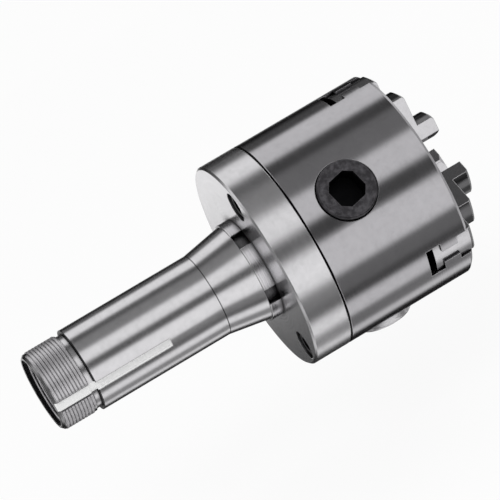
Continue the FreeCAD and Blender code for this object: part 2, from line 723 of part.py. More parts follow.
def build_scroll_plate():
    body = new_body("scroll_plate", body_back)
    bore = d.hub_radius + d.scroll_bore_clearance
    axis = d.pinion_axis_depth
    back = axis + d.nose_radius + d.boss_wall + d.scroll_back_gap
    inner_root = axis + scroll_root * small_scale
    outer_root = axis + scroll_root
    corners = [
        (bore, back),
        (bevel_small_radius - d.tooth_root_overlap, back),
        (bevel_small_radius, inner_root),
        (bevel_end, outer_root),
        (scroll_radius, outer_root),
        (scroll_radius, scroll_top),
        (bore, scroll_top),
    ]
    revolve(body, outline(body, "profile", "XZ_Plane", corners))
    # one bevel tooth, converging on the point where the gear axes meet
    tooth = body.newObject("PartDesign::AdditiveLoft", "scroll_tooth")
    sections = []
    for name, distance in (("large", bevel_end), ("small", bevel_small_radius)):
        sections.append(scroll_tooth(body, f"tooth_{name}", distance))
    tooth.Profile = sections[0]
    tooth.Sections = sections[1:]
    tooth.Ruled = True
    repeat(body, [tooth], d.scroll_teeth)
    # the spiral groove, from inside the bore to outside the rim
    half = d.groove_width.value / 2
    pitch = d.scroll_pitch.value
    phase = d.groove_phase_radius.value
    start = (bore.value - half - BEYOND - phase) / pitch
    end = (scroll_radius.value + half + BEYOND - phase) / pitch
    inner = spiral_curve(-half, start, end)
    outer = spiral_curve(half, start, end)
    first = Part.LineSegment(inner.StartPoint, outer.StartPoint)
    last = Part.LineSegment(outer.EndPoint, inner.EndPoint)
    curves = [inner, outer, first, last]
    groove = drawn(body, "groove", "XY_Plane", curves, scroll_top + BEYOND)
    pocket(body, groove, d.groove_depth + BEYOND)
    return body


def scroll_tooth(body, name, distance):
    """A scroll tooth's section across a radius of the plate."""
    scale = distance.value / bevel_end.value
    lean = math.tan(math.radians(d.pressure_angle.value))
    pitch_half = (tooth_spacing - pinion_tooth_width - d.backlash.value) / 2
    buried = scroll_root.value + d.tooth_root_overlap.value
    tip_half = pitch_half - d.scroll_addendum.value * lean
    root_half = pitch_half + (scroll_root.value - pinion_pitch.value) * lean
    points = [
        (-tip_half, scroll_tip.value),
        (tip_half, scroll_tip.value),
        (root_half, scroll_root.value),
        (root_half, buried),
        (-root_half, buried),
        (-root_half, scroll_root.value),
    ]
    axis = d.pinion_axis_depth.value
    corners = [Vector(across * scale, axis + rise * scale, 0) for across, rise in points]
    lines = [
        Part.LineSegment(corner, corners[(index + 1) % len(corners)])
        for index, corner in enumerate(corners)
    ]
    return drawn(body, name, "YZ_Plane", lines, distance)


def jaw_teeth(number):
    """Middle radii of the jaw's teeth at rest, where the spiral groove passes under it."""
    shift = d.scroll_pitch.value * (number - 1) / JAW_COUNT
    radius = d.groove_phase_radius.value + shift
    half = d.jaw_tooth_width.value / 2
    low = d.jaw_tip_radius.value + half + d.tip_wall.value
    high = jaw_end.value - half - d.end_wall.value
    radius -= d.scroll_pitch.value * math.floor((radius - low) / d.scroll_pitch.value)
    middles = []
    while radius < high:
        middles.append(radius)
        radius += d.scroll_pitch.value
    return middles


def jaw_tooth_curves(middle):
    """A crescent that fits the groove at every radius: tight outside, open inside."""
    lean = d.scroll_pitch.value / (2 * math.pi)
    half = d.jaw_tooth_width.value / 2
    side = d.foot_half_width.value
    smallest = d.hub_radius.value + half
    largest = scroll_radius.value + d.scroll_pitch.value

    def arc(at, radius):
        centre = at - math.sqrt(radius * radius - lean * lean)
        return [
            Vector(centre + math.sqrt(radius ** 2 - (across - lean) ** 2), across, 0)
            for across in (-side, 0, side)
        ]

    outside = arc(middle + half, smallest)
    inside = arc(middle - half, largest)
    return [
        Part.Arc(*outside),
        Part.LineSegment(outside[2], inside[2]),
        Part.Arc(*reversed(inside)),
        Part.LineSegment(inside[0], outside[0]),
    ]


def break_edge(body, name, radius, height):
    """Chamfers the top edge of a jaw's round face."""
    document.recompute()
    base = body.Tip
    found = []
    local = body.Placement.inverse()
    for index, edge in enumerate(body.Shape.Edges, start=1):
        # its two ends and its middle
        points = [local.multVec(point) for point in edge.discretize(3)]
        level = all(abs(point.z - height.value) < SAME for point in points)
        round_face = all(abs(math.hypot(point.x, point.y) - radius.value) < SAME for point in points)
        if level and round_face:
            found.append(f"Edge{index}")
    if not found:
        raise RuntimeError(f"{body.Label} has no edge at its {name}")
    chamfer = body.newObject("PartDesign::Chamfer", f"{body.Name}_{name}_edge")
    chamfer.Base = (base, found)
    chamfer.Size = d.jaw_edge.value
    chamfer.setExpression("Size", d.jaw_edge.text)
    body.Tip = chamfer


def build_jaw(number):
    """A stepped jaw drawn about the spindle, with X as its own radius."""
    body = new_body(f"jaw_{number}", front_face, jaw_step * (number - 1))
    tip = d.jaw_tip_radius
    reach = jaw_end + BEYOND
    side = [
        (tip, -d.foot_bottom),
        (reach, -d.foot_bottom),
        (reach, d.high_height),
        (tip + d.jaw_tip_edge, d.high_height),
        (tip, d.high_height - d.jaw_tip_edge),
    ]
    width = d.foot_half_width * 2
    profile = outline(body, "side", "XZ_Plane", side)
    pad(body, profile, width, both_ways=True)
    # the outer end and each step are round about the spindle axis
    cleared = d.foot_bottom + d.high_height + BEYOND
    steps = [
        ("outer_end", jaw_end, -d.foot_bottom, d.low_height),
        ("middle_step", d.low_step_radius, d.low_height, d.middle_height),
        ("high_step", d.high_step_radius, d.middle_height, d.high_height),
    ]
    for name, radius, floor, top in steps:
        ring = [(0, 0, radius), (0, 0, reach * 2)]
        cut = circles(body, name, "XY_Plane", ring, floor)
        pocket(body, cut, cleared, backwards=True)
    for name, radius, floor, top in steps:
        break_edge(body, name, radius, top)
    # both long sides step in above the foot, deepest along the neck
    beyond = d.foot_half_width + BEYOND
    top = d.high_height + BEYOND
    for name, sign in (("left", 1), ("right", -1)):
        section = [
            (beyond * sign, -d.foot_top),
            (d.neck_half_width * sign, -d.foot_top),
            (d.neck_half_width * sign, -d.neck_top),
            (d.head_half_width * sign, -d.neck_top),
            (d.head_half_width * sign, top),
            (beyond * sign, top),
        ]
        cut = outline(body, f"{name}_side", "YZ_Plane", section)
        pocket(body, cut, reach, backwards=True)
    # the tip is two flats that meet the other jaws' flats, with a blunt edge
    slope = (d.jaw_tip_angle * 0.5).of_angle("tan")
    half_flat = d.jaw_tip_flat * 0.5
    run = (beyond - half_flat) / slope
    for name, sign in (("left", 1), ("right", -1)):
        wedge = [
            (tip - BEYOND, half_flat * sign),
            (tip, half_flat * sign),
            (tip + run, beyond * sign),
            (tip - BEYOND, beyond * sign),
        ]
        cut = outline(body, f"{name}_tip", "XY_Plane", wedge, -d.foot_bottom)
        pocket(body, cut, cleared, backwards=True)
    teeth = jaw_teeth(number)
    curves = [curve for middle in teeth for curve in jaw_tooth_curves(middle)]
    sketch = drawn(body, "teeth", "XY_Plane", curves, -d.foot_bottom)
    pad(body, sketch, d.jaw_tooth_height, backwards=True)
    return body


pieces = [
    build_collet_shank(),
    build_mounting_flange(),
    build_chuck_body(),
    build_back_cover(),
    build_scroll_plate(),
]
head_seat = flange_back + d.counterbore_depth
bolt_length = d.flange_thickness - d.counterbore_depth + d.bolt_reach
cover_back = body_back + d.cover_seat_depth - d.cover_thickness
for index in range(JAW_COUNT):
    number = index + 1
    turn = jaw_step * index
    pieces.append(build_jaw(number))
    pieces.append(build_pinion(f"pinion_{number}", pinion_start_angle + turn))
    retainer = f"pinion_retaining_screw_{number}"
    pieces.append(build_retaining_screw(retainer, pinion_start_angle + turn))
    pieces.append(socket_screw(
        f"mounting_screw_{number}", head_seat, d.bolt_start_angle + turn, bolt_circle,
        d.bolt_radius, d.bolt_head_radius, d.bolt_head_height, bolt_length, d.bolt_socket_flats))
    pieces.append(socket_screw(
        f"cover_screw_{number}", cover_back + d.cover_screw_head_height, turn,
        d.cover_screw_circle, d.cover_screw_radius, d.cover_screw_head_radius,
        d.cover_screw_head_height, d.cover_screw_length, d.cover_screw_flats))

document.recompute()
for item in document.Objects:
    if "Invalid" in item.State or "Error" in item.State:
        raise RuntimeError(f"{item.Name} failed: {item.State}")
for piece in pieces:
    shape = piece.Shape
    if shape.isNull() or not shape.isValid() or len(shape.Solids) != 1:
        raise RuntimeError(f"{piece.Label} is not one valid solid")

os.makedirs("parts", exist_ok=True)
for piece in pieces:
    piece.Shape.exportStep(os.path.join("parts", f"{piece.Label}.step"))
    print(piece.Label, round(piece.Shape.Volume, 1))
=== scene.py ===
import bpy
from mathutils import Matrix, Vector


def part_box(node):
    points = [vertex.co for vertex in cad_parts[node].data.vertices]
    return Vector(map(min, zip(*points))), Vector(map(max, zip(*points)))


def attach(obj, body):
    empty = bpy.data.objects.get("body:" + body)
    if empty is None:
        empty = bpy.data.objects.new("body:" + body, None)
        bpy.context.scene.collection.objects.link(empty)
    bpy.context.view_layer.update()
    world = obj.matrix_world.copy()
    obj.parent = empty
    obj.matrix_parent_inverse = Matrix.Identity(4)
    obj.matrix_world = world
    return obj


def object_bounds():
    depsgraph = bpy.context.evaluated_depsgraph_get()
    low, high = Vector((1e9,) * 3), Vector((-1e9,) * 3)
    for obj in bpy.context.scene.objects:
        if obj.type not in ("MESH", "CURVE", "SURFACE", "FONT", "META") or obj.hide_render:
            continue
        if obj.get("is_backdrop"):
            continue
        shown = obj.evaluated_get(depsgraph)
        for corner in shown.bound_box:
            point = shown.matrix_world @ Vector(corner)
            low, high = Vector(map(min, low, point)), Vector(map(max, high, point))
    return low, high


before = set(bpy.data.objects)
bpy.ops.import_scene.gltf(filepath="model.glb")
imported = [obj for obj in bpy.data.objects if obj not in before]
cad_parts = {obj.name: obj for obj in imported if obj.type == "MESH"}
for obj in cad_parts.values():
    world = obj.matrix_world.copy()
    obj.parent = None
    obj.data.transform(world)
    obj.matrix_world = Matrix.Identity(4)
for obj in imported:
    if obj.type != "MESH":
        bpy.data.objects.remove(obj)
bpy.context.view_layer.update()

import math

import bpy
from mathutils import Matrix, Vector

bl_info = {
    "name": "Scroll chuck finish",
    "version": (1, 0, 0),
    "blender": (4, 5, 0),
    "location": "View3D > Sidebar > Chuck",
    "description": "Ground, turned and blackened steel for a scroll chuck on a collet shank",
    "category": "Object",
}

JAW_NUMBERS = (1, 2, 3)

# Roughness of each steel.
ROUGHNESS = {
    "body_steel": 0.15,
    "flange_steel": 0.23,
    "shank_steel": 0.2,
    "jaw_steel": 0.12,
    "pinion_steel": 0.38,
    "lit_copy_pinion_steel": 0.16,
    "scroll_steel": 0.34,
    "cover_steel": 0.36,
    "screw_steel": 0.42,
}
# Noises of turned steel, of ground steel and of black oxide: scale per metre, detail
# and, where it isn't plain, roughness.
BROAD_RINGS = (260.0, 3.0)
TURNED_CLOUD = (70.0, 4.0)
TURNED_STAIN = (420.0, 4.0, 0.65)
SCRATCHES = (3200.0, 3.0)
GROUND_CLOUD = (130.0, 3.0)
GROUND_STAIN = (520.0, 4.0, 0.65)
OXIDE_CLOUD = (380.0, 5.0, 0.6)
OXIDE_SPECK = (1500.0, 2.0)
OXIDE_METALLIC = 0.8
FINE_DETAIL = 3.0
# How much the scratches' noise is squeezed along the spindle, which draws them long.
SCRATCH_SQUEEZE = 0.06
# How dark the clouds, rings and stains of turned steel, the clouds and stains of ground
# steel and the specks of black oxide are, as shares of the steel's colour.
TURNED_SHADES = (0.88, 0.78, 0.7)
GROUND_SHADES = (0.84, 0.6)
SPECK_SHADE = 0.3
# Black oxide where it is thin, as a gain and a lift of its colour, and where that begins.
THIN_OXIDE = (2.4, 0.02)
THIN_START = 0.42
THIN_GAIN = 4.0
# The screws' colour as a share of the pinion's oxide: black oxide, darkened further as painted
# shade of their recesses.
SCREW_SHADE = 0.5
# Near-black colour for painted shade in gaps, bore and thread grooves, for painted shade lines,
# the darkened end face, the jaw steps' painted dark reflection and the dark seam; and white for
# the key slot, a painted highlight.
NEAR_BLACK = (0.012, 0.012, 0.013)
SLOT_WHITE_HIGHLIGHT = (0.95, 0.95, 0.95)
# How far into a gap the painted shade begins, how quickly it deepens, and how much duller the
# steel is there.
GAP_SHADE_START = 0.27
GAP_SHADE_GAIN = 3.6
GAP_SHADE_ROUGHNESS = 0.3
# How far gaps are felt by the painted shade: on open steel, on the flange, on jaws and in key
# sockets.
REACH = 0.005
FLANGE_REACH = 0.009
JAW_REACH = 0.004
SOCKET_REACH = 0.012
GAP_SAMPLES = 12
# Broken edges: how wide they are, how sharply they show, how much they are worn, the
# worn steel's colour as a gain and a lift, and how much smoother the wear makes them.
EDGE_RADIUS = 0.00035
EDGE_SAMPLES = 6
EDGE_GAIN = 6.0
EDGE_WEAR = 0.7
EDGE_STEEL = (1.35, 0.05)
EDGE_SHINE = 0.04
# Dark line where flange and chuck body meet: half its width, and the share of the
# chuck's radius beyond which it is drawn.
SEAM_HALF_WIDTH = 0.00035
SEAM_WALL = 0.97

# Place on the spindle axis and half width of the dark lines round the shank: painted shade where
# a step wall or corner lies in shadow.
SHANK_LINES = ((-0.0518, 0.0003), (0.0, 0.00016))
SHANK_RADIUS = 0.015875
SLOT_END = -0.0213
# How dark the shank's bore and thread grooves are painted as shade, how much its end face is
# darkened, and how dark its painted shade lines are.
BORE_SHADE = 0.9
END_DARKENING = 0.7
GROOVE_SHADE = 0.5
LINE_SHADE = 0.9
# How dark the jaw steps that face outward are painted, as a painted dark reflection.
STEP_DARK_REFLECTION = 0.8
# How far from a surface its mask still holds, or how far off it a mask begins.
BORE_MARGIN = 0.0001
END_MARGIN = 0.0002
GROOVE_MARGIN = 0.00003
SLOT_SIDE_MARGIN = 0.00005
SLOT_TOP_MARGIN = 0.0002
SLOT_BORE_MARGIN = 0.0003
STEP_MARGIN = 0.0004

# Sections of a thread ridge: along the axis in pitches, and out in ridge heights.
THREAD_STEPS = 90
THREAD_FADE_STEPS = 18
THREAD_SECTION = ((-0.48, -0.2), (-0.3, 0.96), (0.0, 1.0), (0.3, 0.96), (0.48, -0.2))

# Where the spindle axis lies in the picture, and how large the chuck is in it.
PICTURE_PIXELS = 500
PIXELS_PER_METRE = 2840.0
ANCHOR_PIXEL = (254.6, 266.8)
AXIS_TILT = math.radians(30.67)
SENSOR_WIDTH = 36.0
TOWARDS_CAMERA = Vector((-0.191, -0.921, 0.339)).normalized()


class SteelColours(bpy.types.PropertyGroup):
    """Colours and finishes of the steel pieces."""

    flange: bpy.props.FloatVectorProperty(
        name="Flange steel", description="Turned and ground steel of flange and shank",
        subtype="COLOR", default=(0.80, 0.79, 0.81), min=0, max=1)
    body: bpy.props.FloatVectorProperty(
        name="Body steel", description="Turned and ground steel of the chuck body",
        subtype="COLOR", default=(0.53, 0.52, 0.54), min=0, max=1)
    jaw: bpy.props.FloatVectorProperty(
        name="Jaw steel", description="Hardened and ground steel of the jaws",
        subtype="COLOR", default=(0.70, 0.69, 0.71), min=0, max=1)
    oxide: bpy.props.FloatVectorProperty(
        name="Black oxide", description="Blackened steel of pinions and screws",
        subtype="COLOR", default=(0.040, 0.038, 0.042), min=0, max=1)
    inner: bpy.props.FloatVectorProperty(
        name="Inner steel", description="Oiled steel of scroll plate and cover",
        subtype="COLOR", default=(0.42, 0.41, 0.42), min=0, max=1)
    turning: bpy.props.FloatProperty(
        name="Turning lines", description="Distance between turning marks",
        default=0.00045, min=0.0001, max=0.005, unit="LENGTH")


class ThreadSizes(bpy.types.PropertyGroup):
    """Sizes of the threads on the shank."""

    lead: bpy.props.FloatProperty(
        name="Lead", description="Plain end before each thread",
        default=0.0014, min=0, max=0.01, unit="LENGTH")
    core_radius: bpy.props.FloatProperty(
        name="Core radius", description="Root of the drawbar thread",
        default=0.01495, min=0.01, max=0.02, unit="LENGTH")
    outside_radius: bpy.props.FloatProperty(
        name="Outside thread radius", description="Crest of the drawbar thread",
        default=0.01523, min=0.01, max=0.02, unit="LENGTH")
    outside_pitch: bpy.props.FloatProperty(
        name="Outside thread pitch", description="Advance per turn of the drawbar thread",
        default=0.00127, min=0.0005, max=0.003, unit="LENGTH")
    outside_length: bpy.props.FloatProperty(
        name="Outside thread length", description="Drawbar thread from the shank's end",
        default=0.0133, min=0.002, max=0.02, unit="LENGTH")
    slot_angle: bpy.props.FloatProperty(
        name="Key slot angle", description="Key slot from jaw 1, in degrees",
        default=98.8, min=0, max=360)
    slot_width: bpy.props.FloatProperty(
        name="Key slot width", description="Key slot that crosses the drawbar thread",
        default=0.0032, min=0.001, max=0.01, unit="LENGTH")
    bore_radius: bpy.props.FloatProperty(
        name="Stop bore radius", description="Root of the stop thread",
        default=0.0132, min=0.01, max=0.02, unit="LENGTH")
    inside_radius: bpy.props.FloatProperty(
        name="Inside thread radius", description="Crest of the stop thread",
        default=0.01275, min=0.01, max=0.02, unit="LENGTH")
    inside_pitch: bpy.props.FloatProperty(
        name="Inside thread pitch", description="Advance per turn of the stop thread",
        default=0.00106, min=0.0005, max=0.003, unit="LENGTH")
    inside_length: bpy.props.FloatProperty(
        name="Inside thread length", description="Stop thread from the shank's end",
        default=0.0110, min=0.002, max=0.02, unit="LENGTH")


class StudioSizes(bpy.types.PropertyGroup):
    """The floor, the light tent and the lens."""

    floor_drop: bpy.props.FloatProperty(
        name="Floor drop", description="Floor below the chuck",
        default=0.035, min=0, max=1, unit="LENGTH")
    tent_radius: bpy.props.FloatProperty(
        name="Tent radius", description="Light tent round the spindle axis",
        default=0.6, min=0.2, max=2, unit="LENGTH")
    tent_length: bpy.props.FloatProperty(
        name="Tent length", description="Light tent along the spindle axis",
        default=1.4, min=0.2, max=4, unit="LENGTH")
    lens: bpy.props.FloatProperty(
        name="Lens", description="Focal length of the camera in millimetres",
        default=300, min=50, max=1000)


class Socket:
    """A value in a shader, so that maths on it reads as an expression."""

    def __init__(self, shader, link):
        self.shader = shader
        self.link = link

    def other(self, output):
        """Another output of the same node."""
        return Socket(self.shader, self.link.node.outputs[output])

    def maths(self, operation, *others):
        """The value after a maths node, named by its operation."""
        return self.shader.add("ShaderNodeMath", {"operation": operation}, [self, *others])

    def __add__(self, other):
        return self.maths("ADD", other)

    def __radd__(self, other):
        return self.maths("ADD", other)

    def __sub__(self, other):
        return self.maths("SUBTRACT", other)

    def __rsub__(self, other):
        return self.shader.add("ShaderNodeMath", {"operation": "SUBTRACT"}, [other, self])

    def __mul__(self, other):
        return self.maths("MULTIPLY", other)

    def __rmul__(self, other):
        return self.maths("MULTIPLY", other)

    def __truediv__(self, other):
        return self.maths("DIVIDE", other)

    def __gt__(self, other):
        return self.maths("GREATER_THAN", other)

    def __lt__(self, other):
        return self.maths("LESS_THAN", other)

    def power(self, other):
        """The value raised to a power."""
        return self.maths("POWER", other)

    def distance(self, other):
        """How far apart two values are."""
        return (self - other).maths("ABSOLUTE")

    def at_most(self, other):
        """The value, or the other where that is less."""
        return self.maths("MINIMUM", other)

    def clamped(self):
        """The value, kept between zero and one."""
        return self.at_most(1.0).maths("MAXIMUM", 0.0)


class Nodes:
    """A node tree with short ways to add nodes."""

    def __init__(self, tree):
        self.tree = tree

    def add(self, kind, settings=(), inputs=(), output=0):
        """One output of a new node, made with its settings first and then the values or
        links of its sockets."""
        node = self.tree.nodes.new(kind)
        for name, value in dict(settings).items():
            setattr(node, name, value)
        numbered = inputs.items() if isinstance(inputs, dict) else enumerate(inputs)
        for key, value in numbered:
            self.feed(node.inputs[key], value)
        return Socket(self, node.outputs[output])

    def feed(self, socket, value):
        """Links a value of the shader to a socket, or sets the socket to a number."""
        if isinstance(value, Socket):
            self.tree.links.new(value.link, socket)
        else:
            socket.default_value = value

    def straight_rays(self):
        """One for rays from the camera, off polished metal and through glass."""
        path = self.add("ShaderNodeLightPath")
        names = ("Is Camera Ray", "Is Glossy Ray", "Is Transmission Ray")
        camera, glossy, through = (path.other(name) for name in names)
        return camera + glossy + through


# A Mix node's sockets for colours. They share their names with others, so they go by
# number: the factor, the first and the second colour, and the result.
MIX_INPUTS = (0, 6, 7)
MIX_OUTPUT = 2


class Shader(Nodes):
    """A material's node tree, with the noises and masks that steel is made of."""

    def __init__(self, name):
        self.material = bpy.data.materials.new(name)
        self.material.use_nodes = True
        super().__init__(self.material.node_tree)
        self.surface = self.tree.nodes["Principled BSDF"]

    def show(self, result):
        """Sends the result of a shader node to the material's output."""
        self.feed(self.tree.nodes["Material Output"].inputs["Surface"], result)

    def set(self, **inputs):
        """Sets sockets of the surface shader, named in lower case with underscores."""
        for name, value in inputs.items():
            self.feed(self.surface.inputs[name.replace("_", " ").title()], value)

    def mix(self, mask, first, second):
        """The first colour where the mask is zero, the second where it is one."""
        settings = {"data_type": "RGBA"}
        inputs = dict(zip(MIX_INPUTS, (mask, first, second)))
        return self.add("ShaderNodeMix", settings, inputs, output=MIX_OUTPUT)

    def noise(self, vector, scale, detail, roughness=0.5):
        """Soft random cloud with a scale per metre."""
        inputs = {"Vector": vector, "Scale": scale, "Detail": detail, "Roughness": roughness}
        return self.add("ShaderNodeTexNoise", {}, inputs)

    def place(self):
        """Where the surface lies in the chuck's own frame."""
        return self.add("ShaderNodeTexCoord", output="Object")

    def split(self, vector):
        """The three parts of a vector."""
        parts = self.add("ShaderNodeSeparateXYZ", {}, [vector])
        return [parts.other(name) for name in "XYZ"]

    def join(self, x, y, z):
        """A vector from three values."""
        return self.add("ShaderNodeCombineXYZ", {}, [x, y, z])

    def rounded(self, radius):
        """The normal as it is on edges that are broken to a small radius."""
        return self.add("ShaderNodeBevel", {"samples": EDGE_SAMPLES}, {"Radius": radius})

    def facing(self, direction):
        """How far the plain surface faces along a direction, times the direction's length."""
        plain = self.add("ShaderNodeNewGeometry", output="Normal")
        settings = {"operation": "DOT_PRODUCT"}
        return self.add("ShaderNodeVectorMath", settings, [direction, plain], output="Value")

    def edge(self, rounded):
        """One along the edges, zero on flat and round walls."""
        return ((1.0 - self.facing(rounded)) * EDGE_GAIN).at_most(1.0)

    def hollow(self, reach):
        """One in gaps, corners and holes, zero in the open."""
        inputs = {"Distance": reach}
        settings = {"samples": GAP_SAMPLES}
        return 1.0 - self.add("ShaderNodeAmbientOcclusion", settings, inputs, output="AO")

    def bump(self, height, strength, distance, rounded):
        """The rounded normal, tilted by the slopes of a height."""
        inputs = {"Strength": strength, "Distance": distance, "Height": height, "Normal": rounded}
        return self.add("ShaderNodeBump", {}, inputs)


def colour(values, share=1.0):
    """A colour for a socket, darkened to a share of its brightness."""
    return (*[level * share for level in values], 1.0)


def lifted(values, gain, lift):
    """A colour that is scaled up and lifted, and never brighter than white."""
    return [min(1, level * gain + lift) for level in values]


def seam_line(shader, x, radius):
    """One on the outer wall where the flange ends and the chuck body begins."""
    low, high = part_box("chuck_body")
    return (x.distance(low.x) < SEAM_HALF_WIDTH) * (radius > high.z * SEAM_WALL)


def shaded_and_worn(shader, tone, base, reach, unshaded=None):
    """The tone of a surface with edges worn bright and painted shade, near black, in its gaps."""
    rounded = shader.rounded(EDGE_RADIUS)
    edge = shader.edge(rounded)
    hollow = shader.hollow(reach)
    if unshaded:
        hollow = hollow * (1.0 - unshaded)
    bright = lifted(base, *EDGE_STEEL)
    worn = shader.mix(edge * (1.0 - hollow) * EDGE_WEAR, tone, colour(bright))
    # Painted shade: gaps and corners that ambient occlusion finds turn near black.
    gap_shade = ((hollow - GAP_SHADE_START) * GAP_SHADE_GAIN).clamped()
    return shader.mix(gap_shade, worn, colour(NEAR_BLACK)), gap_shade, edge, rounded


def turned_steel(name, base, turning, reach=REACH, seam=False, slot=None):
    """Steel turned on a lathe: fine rings round the spindle axis, on walls and faces alike."""
    shader = Shader(name)
    place = shader.place()
    x, y, z = shader.split(place)
    radius = (y * y + z * z).power(0.5)
    rings = shader.join(x, radius, 0.0)
    fine = shader.noise(rings, 1 / turning, FINE_DETAIL)
    broad = shader.noise(rings, *BROAD_RINGS)
    cloud = shader.noise(place, *TURNED_CLOUD)
    stain = shader.noise(place, *TURNED_STAIN)
    clouded, ringed, stained = (colour(base, shade) for shade in TURNED_SHADES)
    tone = shader.mix(cloud, clouded, colour(base))
    tone = shader.mix(broad * 0.5, tone, ringed)
    tone = shader.mix(stain.power(3.0), tone, stained)
    metal = 1.0
    slot_highlight = None
    if slot:
        # Painted highlight: the key slot's floor and walls are painted white and not metallic.
        slot_highlight = slot_floor(x, y, z, radius, slot)
        tone = shader.mix(slot_highlight, tone, colour(SLOT_WHITE_HIGHLIGHT))
        low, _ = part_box("collet_shank")
        bore = radius < slot.bore_radius + BORE_MARGIN
        end_face = x < low.x + END_MARGIN
        groove = (x < low.x + slot.outside_length) * (radius < slot.core_radius + GROOVE_MARGIN)
        open_groove = groove * GROOVE_SHADE * (1.0 - slot_highlight)
        # Painted shade in the bore and the open thread grooves, and a darkened end face.
        for dark in (bore * BORE_SHADE, end_face * END_DARKENING, open_groove):
            tone = shader.mix(dark, tone, colour(NEAR_BLACK))
        metal = 1.0 - slot_highlight
    # Worn edges, and painted shade in the gaps.
    finish, gap_shade, edge, rounded = shaded_and_worn(shader, tone, base, reach, slot_highlight)
    if seam:
        finish = shader.mix(seam_line(shader, x, radius), finish, colour(NEAR_BLACK))
    if slot:
        # Painted shade: thin near-black lines round the shank.
        for place_on_axis, half in SHANK_LINES:
            line = (x.distance(place_on_axis) < half) * (1.0 - slot_highlight)
            finish = shader.mix(line * LINE_SHADE, finish, colour(NEAR_BLACK))
    shader.set(base_color=finish, metallic=metal)
    grain = (fine - 0.5) * 0.10 + (cloud - 0.5) * 0.06 + (stain - 0.5) * 0.05
    shader.set(roughness=ROUGHNESS[name] + grain + gap_shade * GAP_SHADE_ROUGHNESS - edge * EDGE_SHINE)
    marks = fine * 0.75 + broad * 0.25
    bump = shader.bump(marks, strength=0.4, distance=turning * 0.25, rounded=rounded)
    shader.set(normal=bump)
    return shader.material


def slot_floor(x, y, z, radius, slot):
    """One on the milled floor and walls of the key slot."""
    turn = math.radians(slot.slot_angle)
    across = y * math.cos(turn) + z * math.sin(turn)
    outward = z * math.cos(turn) - y * math.sin(turn)
    inside = across.distance(0.0) < slot.slot_width / 2 + SLOT_SIDE_MARGIN
    below = radius < SHANK_RADIUS - SLOT_TOP_MARGIN
    above = radius > slot.bore_radius + SLOT_BORE_MARGIN
    return inside * (below * above) * (outward > 0.0) * (x < SLOT_END)


def ground_steel(name, base):
    """Steel ground flat: short parallel scratches and a faint cloudiness."""
    shader = Shader(name)
    place = shader.place()
    x, y, z = shader.split(place)
    scratches = shader.noise(shader.join(x * SCRATCH_SQUEEZE, y, z), *SCRATCHES)
    cloud = shader.noise(place, *GROUND_CLOUD)
    stain = shader.noise(place, *GROUND_STAIN)
    clouded, stained = (colour(base, shade) for shade in GROUND_SHADES)
    tone = shader.mix(cloud, clouded, colour(base))
    tone = shader.mix(stain.power(3.0), tone, stained)
    # Painted reflection: the jaw steps that face outward are darkened to near black.
    tone = shader.mix(step_faces(shader, x, y, z) * STEP_DARK_REFLECTION, tone, colour(NEAR_BLACK))
    # Worn edges, and painted shade in the gaps.
    finish, gap_shade, edge, rounded = shaded_and_worn(shader, tone, base, JAW_REACH)
    shader.set(base_color=finish, metallic=1.0)
    grain = (scratches - 0.5) * 0.10 + (cloud - 0.5) * 0.05
    shader.set(roughness=ROUGHNESS[name] + grain + gap_shade * GAP_SHADE_ROUGHNESS - edge * EDGE_SHINE)
    bump = shader.bump(scratches, strength=0.12, distance=0.0001, rounded=rounded)
    shader.set(normal=bump)
    return shader.material


def step_faces(shader, x, y, z):
    """One on the jaw steps that face outward above the body, which are painted black as a dark
    reflection.
    """
    radius = (y * y + z * z).power(0.5)
    outward = shader.facing(shader.join(0.0, y, z)) / radius
    _, body_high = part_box("chuck_body")
    return (outward > 0.5) * (x > body_high.x + STEP_MARGIN)


def blackened_steel(name, base):
    """Black oxide on steel, mottled, with bare edges."""
    shader = Shader(name)
    place = shader.place()
    cloud = shader.noise(place, *OXIDE_CLOUD)
    speck = shader.noise(place, *OXIDE_SPECK)
    thin = lifted(base, *THIN_OXIDE)
    patches = ((cloud - THIN_START) * THIN_GAIN).clamped()
    tone = shader.mix(patches, colour(base), colour(thin))
    tone = shader.mix(speck.power(4.0), tone, colour(base, SPECK_SHADE))
    # Worn edges, and painted shade in the gaps.
    finish, gap_shade, edge, rounded = shaded_and_worn(shader, tone, thin, SOCKET_REACH)
    shader.set(base_color=finish, metallic=OXIDE_METALLIC + gap_shade * (1.0 - OXIDE_METALLIC))
    shader.set(roughness=ROUGHNESS[name] + (cloud - 0.5) * 0.25 + gap_shade * 0.2 - edge * 0.08)
    grain = cloud * 0.6 + speck * 0.4
    bump = shader.bump(grain, strength=0.15, distance=0.0001, rounded=rounded)
    shader.set(normal=bump)
    return shader.material


def dress(node, material):
    """Gives a CAD node its material."""
    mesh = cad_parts[node].data
    mesh.materials.clear()
    mesh.materials.append(material)


def chosen():
    """Colours, thread sizes and studio sizes as they are set in the scene."""
    scene = bpy.context.scene
    return scene.chuck_steel, scene.chuck_threads, scene.chuck_studio


def mesh_object(name, vertices, faces, material, body=None, smooth=True):
    """A new object from corners and faces, on a body of the frame if one is named."""
    mesh = bpy.data.meshes.new(name)
    mesh.from_pydata(vertices, [], faces)
    mesh.update()
    for polygon in mesh.polygons:
        polygon.use_smooth = smooth
    mesh.materials.append(material)
    piece = bpy.data.objects.new(name, mesh)
    bpy.context.scene.collection.objects.link(piece)
    if body:
        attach(piece, body)
    return piece


class CHUCK_OT_body(bpy.types.Operator):
    """Finish the chuck body"""

    bl_idname = "chuck.body"
    bl_label = "Chuck body"

    def execute(self, context):
        steel, _, _ = chosen()
        dress("chuck_body", turned_steel("body_steel", steel.body, steel.turning, seam=True))
        return {"FINISHED"}


